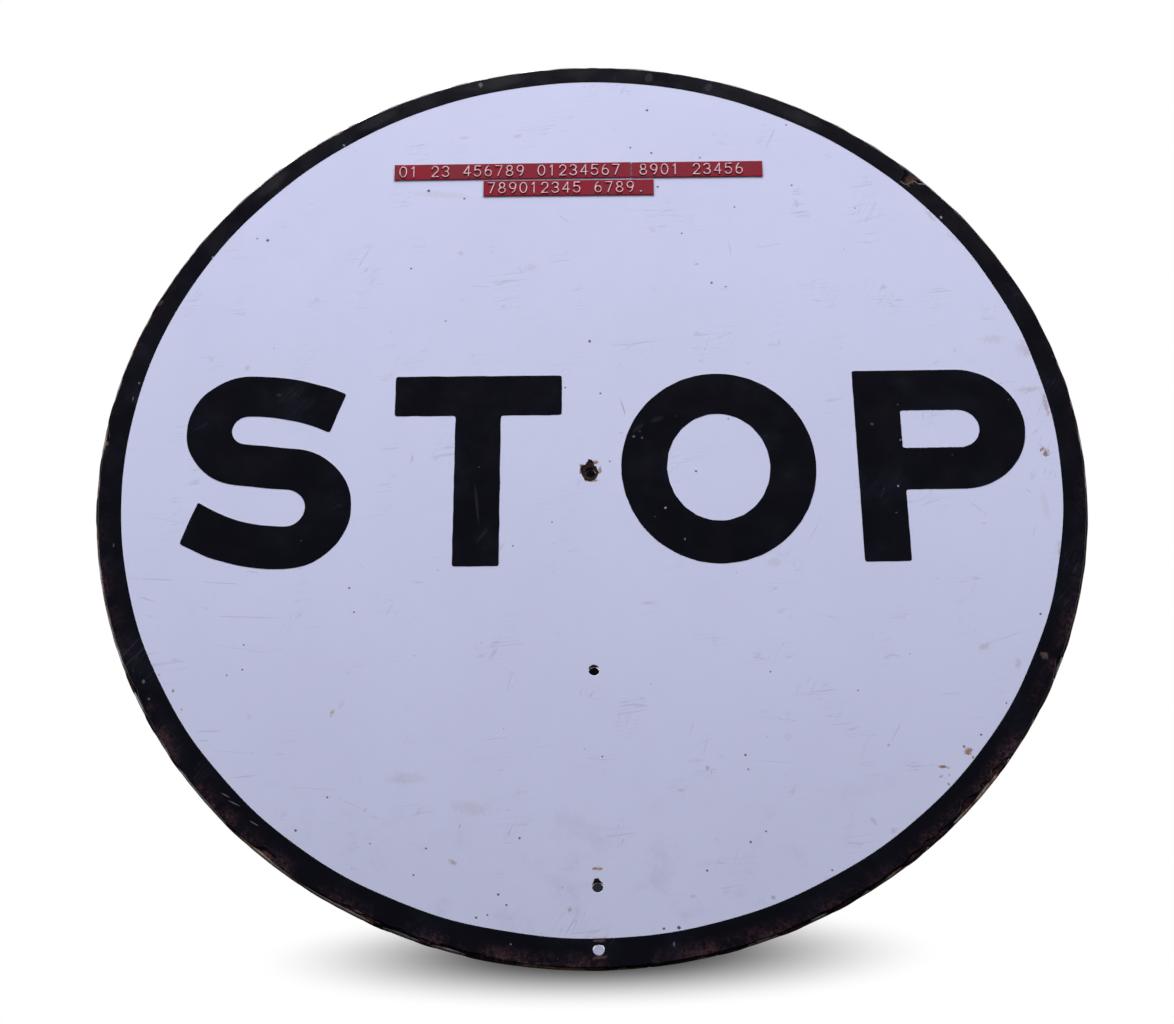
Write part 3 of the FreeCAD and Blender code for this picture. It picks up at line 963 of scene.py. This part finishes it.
# Each numeral is a few strokes in a box one wide and one high
NUMERALS = {
    "0": [bow(0.5, 0.5, 0.5, 0.5, 0, 360)],
    "1": [[(0.22, 0.80), (0.5, 1.0), (0.5, 0.0)]],
    "2": [np.vstack((bow(0.5, 0.70, 0.46, 0.30, 170, -35), [(0.04, 0.0), (0.98, 0.0)]))],
    "3": [bow(0.46, 0.74, 0.44, 0.26, 160, -90), bow(0.46, 0.25, 0.50, 0.25, 90, -160)],
    "4": [[(0.74, 0.0), (0.74, 1.0), (0.02, 0.30), (1.0, 0.30)]],
    "5": [np.vstack(([(0.92, 1.0), (0.14, 1.0), (0.08, 0.56)], bow(0.46, 0.32, 0.50, 0.32, 120, -155)))],
    "6": [bow(0.5, 0.30, 0.46, 0.30, 0, 360), bow(0.80, 0.30, 0.76, 0.74, 180, 112)],
    "7": [[(0.02, 1.0), (0.98, 1.0), (0.36, 0.0)]],
    "8": [bow(0.5, 0.75, 0.38, 0.25, 0, 360), bow(0.5, 0.25, 0.48, 0.25, 0, 360)],
    "9": [bow(0.5, 0.70, 0.46, 0.30, 0, 360), bow(0.20, 0.70, 0.76, 0.74, 0, -68)],
    ".": [bow(0.5, 0.06, 0.05, 0.03, 0, 360)],
}
TAPE_WIDTH = 6.0
NUMERAL_SIZE = (2.2, 3.95)
NUMERAL_PITCH = 3.52
STROKE_HALF = 0.17
STROKE_SHOULDER = 0.16
EMBOSS = 0.28
# Each strip: ends of its middle line, how far in the first numeral starts, and the numerals
TAPES = {
    "upper_left": ((-63.2, 110.8), (15.0, 110.1), 1.8, "01 23 456789 01234567"),
    "upper_right": ((15.2, 110.0), (58.5, 109.6), 2.8, "8901 23456"),
    "lower": ((-33.7, 103.9), (22.4, 103.2), 1.5, "789012345 6789."),
}


def stroke_distance(along, across, text, first):
    """Distance from each grid point to the nearest stroke of the text."""
    far = np.full(along.shape, 9.0)
    for index, numeral in enumerate(text):
        left = first + index * NUMERAL_PITCH
        near = (along > left - 1) & (along < left + NUMERAL_SIZE[0] + 1)
        x, y = along[near], across[near]
        for stroke in NUMERALS.get(numeral, []):
            points = np.asarray(stroke, float) * NUMERAL_SIZE + (left, -NUMERAL_SIZE[1] / 2)
            for a, b in zip(points, points[1:]):
                d = b - a
                t = np.clip(((x - a[0]) * d[0] + (y - a[1]) * d[1]) / max(d @ d, 1e-9), 0, 1)
                far[near] = np.minimum(far[near], np.hypot(x - a[0] - t * d[0], y - a[1] - t * d[1]))
    return far


def smooth(value):
    t = np.clip(value, 0, 1)
    return t * t * (3 - 2 * t)


def make_tape(name, start, end, first, text, material):
    """A strip as a height over (along, across): a flat with rounded long edges and a smooth ridge that
    follows the numerals, closed by straight sides and a flat underside."""
    start, end = np.array(start), np.array(end)
    length = np.linalg.norm(end - start)
    ahead = (end - start) / length
    left = np.array((-ahead[1], ahead[0]))
    s = np.linspace(0, length, round(length / 0.10) + 1)
    t = np.linspace(-TAPE_WIDTH / 2, TAPE_WIDTH / 2, 61)
    along, across = np.meshgrid(s, t, indexing="ij")
    far = stroke_distance(along, across, text, first)
    ridge = smooth((STROKE_HALF + STROKE_SHOULDER - far) / STROKE_SHOULDER)
    rim = np.minimum(TAPE_WIDTH / 2 - np.abs(across), np.minimum(along, length - along))
    height = TAPE_FACE - 0.05 * (1 - smooth(rim / 0.15)) + EMBOSS * ridge
    lift = 0.04 * np.exp(-along / 1.2) + 0.03 * np.exp(-(length - along) / 1.5)
    places = start + along[..., None] * ahead + across[..., None] * left
    top = np.column_stack((places.reshape(-1, 2), (height + lift).ravel()))
    rows, columns = along.shape
    ids = np.arange(rows * columns).reshape(rows, columns)
    quads = np.stack((ids[:-1, :-1], ids[1:, :-1], ids[1:, 1:], ids[:-1, 1:]), axis=-1).reshape(-1, 4)
    rim_ids = np.concatenate((ids[:, 0], ids[-1, 1:], ids[-2::-1, -1], ids[0, -2:0:-1]))
    foot = top[rim_ids].copy()
    foot[:, 2] = TAPE_FOOT + lift.ravel()[rim_ids]
    low_ids = np.arange(len(rim_ids)) + len(top)
    sides = np.column_stack((rim_ids, low_ids, np.roll(low_ids, -1), np.roll(rim_ids, -1)))
    verts = stood_up(np.vstack((top, foot)), FRONT)
    faces = quads.tolist() + sides.tolist() + [low_ids[::-1].tolist()]
    nodes = [f"label_tape_{name}"]
    piece = new_piece(f"embossed_tape_{name}", verts, faces, material, nodes, 60)
    white = np.concatenate((smooth((STROKE_HALF + 0.04 - far) / 0.12).ravel(), np.zeros(len(foot))))
    # Painted shade for the tape's edges: full on the sides and underside, fading out over 0.35 mm into the
    # top
    edges = np.concatenate(((1 - smooth(rim / 0.35)).ravel(), np.ones(len(foot))))
    for label, values in (("raised", white), ("edge", edges)):
        attribute = piece.data.attributes.new(label, "FLOAT", "POINT")
        attribute.data.foreach_set("value", values.astype(np.float32))


def make_adhesive(name, start, end, material):
    """The film under a strip, a hair narrower than the strip."""
    start, end = np.array(start), np.array(end)
    ahead = (end - start) / np.linalg.norm(end - start)
    left = np.array((-ahead[1], ahead[0])) * (TAPE_WIDTH / 2 - 0.08)
    corners = np.array((start - left, end - left, end + left, start + left))
    loop = softened(corners, step=0.4, reach=0.15)
    profile = [(0, TAPE_FOOT + BED), (0, WHITE_FACE - BED)]
    nodes = [f"label_adhesive_{name}"]
    layer(f"tape_adhesive_{name}", [loop], [profile], 2.5, FRONT, material, nodes)


# ---- making the paddle head

white_front = white_enamel("white_enamel_front", FRONT, [(x, y, d, d, 0, 1.0) for x, y, d in FRONT_SPECKS],
                           FRONT_SCRATCHES, FRONT_SMEARS, FRONT_RUST)
white_back = white_enamel("white_enamel_back", BACK, BACK_SPECKS, BACK_SCRATCHES, BACK_SMEARS, BACK_RUST)
black_letters = black_enamel("black_enamel_letters", FRONT, LETTER_FLECKS, (), 0.0)
black_border = black_enamel("black_enamel_border", FRONT, BORDER_FLECKS_AND_SHEEN, RIM_RUST, 0.5)
# The back's black takes two of the border's painted sheen streaks along with its flecks
black_back = black_enamel("black_enamel_back", BACK, LETTER_FLECKS[:4] + BORDER_FLECKS_AND_SHEEN[4:8], (), 0.8)
BODY_RUST = RIM_RUST + [(0, 0, 12, 12, 0, 0.25), (0, -126.2, 6, 6, 0, 0.4)]
black_body = black_enamel("black_enamel_body", FRONT, (), BODY_RUST, 0.7)
black_body.node_tree.nodes["Principled BSDF"].inputs["Specular IOR Level"].default_value = 0.08

make_body(black_body)
for side, white, letters, border, seed in (
    (FRONT, white_front, black_letters, black_border, 40),
    (BACK, white_back, black_back, black_back, 140),
):
    make_white_field(side, white)
    make_border(side, border, seed)
    make_letters(side, letters, seed + 1)

tape_plastic = label_plastic("label_plastic")
adhesive = aged_adhesive("aged_adhesive")
for name, (start, end, first, text) in TAPES.items():
    make_adhesive(name, start, end, adhesive)
    make_tape(name, start, end, first, text, tape_plastic)

steel = frame["nodes"]["steel_blank"]
steel.data.materials.clear()
steel.data.materials.append(rusty_steel("rusty_steel"))


# ---- camera

CAMERA_AZIMUTH = -0.37
CAMERA_ELEVATION = -24.03
CAMERA_ROLL = -0.92
CAMERA_DISTANCE = 0.6052
CAMERA_TARGET = Vector((-0.0013, -WHITE_FACE * MM, -0.0134))
CAMERA_LENS = 60.74
CAMERA_SENSOR = 36.0


def make_camera():
    azimuth, elevation, roll = (math.radians(a) for a in (CAMERA_AZIMUTH, CAMERA_ELEVATION, CAMERA_ROLL))
    level = Vector((math.sin(azimuth), math.cos(azimuth), 0))
    ahead = level * math.cos(elevation) - Vector((0, 0, math.sin(elevation)))
    right = Vector((math.cos(azimuth), -math.sin(azimuth), 0))
    up = right.cross(ahead)
    right, up = right * math.cos(roll) + up * math.sin(roll), up * math.cos(roll) - right * math.sin(roll)
    data = bpy.data.cameras.new("camera")
    data.lens, data.sensor_width = CAMERA_LENS, CAMERA_SENSOR
    data.clip_start, data.clip_end = 0.01, 20
    camera = bpy.data.objects.new("camera", data)
    turn = Matrix((right, up, -ahead)).transposed().to_4x4()
    camera.matrix_world = Matrix.Translation(CAMERA_TARGET - ahead * CAMERA_DISTANCE) @ turn
    bpy.context.scene.collection.objects.link(camera)
    bpy.context.scene.camera = camera


make_camera()


# ---- floor, light and backdrop

# The disc is shown leaning back. In its own upright frame the floor is tipped forwards by the same angle.
LEAN = math.radians(31.0)
FLOOR_UP = Vector((0, -math.sin(LEAN), math.cos(LEAN)))
FLOOR_AHEAD = Vector((0, math.cos(LEAN), math.sin(LEAN)))
TOUCH = Vector((0, GROUND_FACE * MM, -DISC_RADIUS * MM))


def stage_material(name, colour, strength=None):
    """A plain stage finish: matt, or glowing if a strength is given."""
    material = bpy.data.materials.new(name)
    material.use_nodes = True
    tree = material.node_tree
    tree.nodes.clear()
    output = tree.nodes.new("ShaderNodeOutputMaterial")
    if strength is None:
        shader = add(tree, "ShaderNodeBsdfDiffuse", {"Color": colour})
    else:
        shader = add(tree, "ShaderNodeEmission", {"Color": colour, "Strength": strength})
    clear = tree.nodes.new("ShaderNodeBsdfTransparent")
    behind = add(tree, "ShaderNodeNewGeometry").outputs["Backfacing"]
    mixed = add(tree, "ShaderNodeMixShader", {0: behind, 1: shader.outputs[0], 2: clear.outputs[0]})
    tree.links.new(mixed.outputs[0], output.inputs["Surface"])
    return material


def stage_piece(name, verts, faces, material):
    mesh = bpy.data.meshes.new(name)
    mesh.from_pydata([tuple(v) for v in verts], [], faces)
    mesh.materials.append(material)
    piece = bpy.data.objects.new(name, mesh)
    bpy.context.scene.collection.objects.link(piece)
    return piece


def make_floor():
    """A pale glowing sheet with a painted soft round shadow where the disc stands on it."""
    side = Vector((1, 0, 0))
    corners = [(-0.40, -0.24), (0.40, -0.24), (0.40, 0.12), (-0.40, 0.12)]
    verts = [TOUCH + side * x + FLOOR_AHEAD * y for x, y in corners]
    material = stage_material("pale_floor_with_painted_shadow", (1, 1, 1, 1), 1.0)
    tree = material.node_tree
    place = add(tree, "ShaderNodeTexCoord").outputs["Object"]
    # Painted shadow: the sheet's glow is dimmed down to 0.06 in a soft oval round the disc's foot
    away = vector_maths(tree, "SUBTRACT", place, TOUCH + FLOOR_AHEAD * 0.015)
    sized = vector_maths(tree, "DIVIDE", away, (0.100, 0.045, 0.045))
    far = vector_maths(tree, "LENGTH", sized, output="Value")
    shade = between(tree, far, 0.2, 1.0, 0.06, 1.0)
    tree.links.new(shade, tree.nodes["Emission"].inputs["Strength"])
    floor = stage_piece("floor", verts, [(0, 1, 2, 3)], material)
    floor.visible_shadow = floor.visible_glossy = floor.visible_diffuse = False


# Painted shade and light for the holes: the glowing cards behind holes 1 to 3 are painted near black, black
# and dark grey, and the one behind hole 4 is painted the pale room
PAINTED_HOLE_LIGHT_AND_SHADE = (
    (0.004, 0.004, 0.005, 1),
    (0.003, 0.003, 0.004, 1),
    (0.022, 0.021, 0.030, 1),
    (0.36, 0.36, 0.52, 1),
)


def make_hole_shades():
    """A small one-sided glowing card close behind each hole, painted with the shade, or for the lowest hole
    the pale light, seen through it, so that the room's white doesn't shine through.
    """
    for number, (v, colour) in enumerate(zip(HOLES, PAINTED_HOLE_LIGHT_AND_SHADE), 1):
        rim = circle(HOLE_RADIUS + 0.5, (0, v), 0.3)
        verts = [(x * MM, (LETTER_FACE + 0.15) * MM, z * MM) for x, z in rim]
        material = stage_material(f"painted_hole_light_and_shade_{number}", colour, 1.0)
        card = stage_piece(f"hole_shade_{number}", verts, [list(range(len(verts)))], material)
        card.visible_shadow = card.visible_diffuse = card.visible_glossy = False


def make_light(name, aim, offset, size, power, colour):
    """An area light at an offset from the point it faces."""
    data = bpy.data.lights.new(name, "AREA")
    data.shape, data.size, data.size_y = "RECTANGLE", size[0], size[1]
    data.energy, data.color = power, colour
    light = bpy.data.objects.new(name, data)
    light.location = Vector(aim) + Vector(offset)
    light.rotation_mode = "QUATERNION"
    light.rotation_quaternion = Vector(offset).to_track_quat("Z", "Y")
    light.visible_camera = False
    bpy.context.scene.collection.objects.link(light)


def make_world():
    """White to the camera, and a dim cool room for everything else."""
    world = bpy.data.worlds.new("room")
    bpy.context.scene.world = world
    world.use_nodes = True
    tree = world.node_tree
    tree.nodes.clear()
    seen = add(tree, "ShaderNodeLightPath").outputs["Is Camera Ray"]
    white = add(tree, "ShaderNodeBackground", {"Color": (1, 1, 1, 1), "Strength": 1.0})
    dim = add(tree, "ShaderNodeBackground", {"Color": (0.80, 0.82, 1.0, 1), "Strength": 0.05})
    mixed = add(tree, "ShaderNodeMixShader", {0: seen, 1: dim.outputs[0], 2: white.outputs[0]})
    output = tree.nodes.new("ShaderNodeOutputWorld")
    tree.links.new(mixed.outputs[0], output.inputs["Surface"])


def over_floor(azimuth, elevation, distance):
    """An offset from the disc's foot, by compass angle from straight ahead and angle above the floor."""
    a, e = math.radians(azimuth), math.radians(elevation)
    level = Vector((1, 0, 0)) * math.sin(a) - FLOOR_AHEAD * math.cos(a)
    return (level * math.cos(e) + FLOOR_UP * math.sin(e)) * distance


COOL = (0.97, 0.98, 1.0)
make_floor()
make_hole_shades()
make_light("overhead", TOUCH, over_floor(180, 83, 2.0), (2.3, 1.0), 61.0, COOL)
make_light("high_back", TOUCH, over_floor(180, 50, 1.3), (1.5, 0.5), 29.0, COOL)
make_light("back_fill", (0, 0, 0), (-0.3, 1.5, 0.25), (1.4, 0.9), 11.0, COOL)
make_light("left_fill", (0, 0, 0.02), (-1.3, -0.8, 0.25), (0.9, 0.9), 5.4, COOL)
make_light("right_fill", (0, 0, 0.02), (1.3, -0.8, 0.25), (0.9, 0.9), 4.0, COOL)
make_world()
bpy.context.scene.view_settings.view_transform = "Standard"
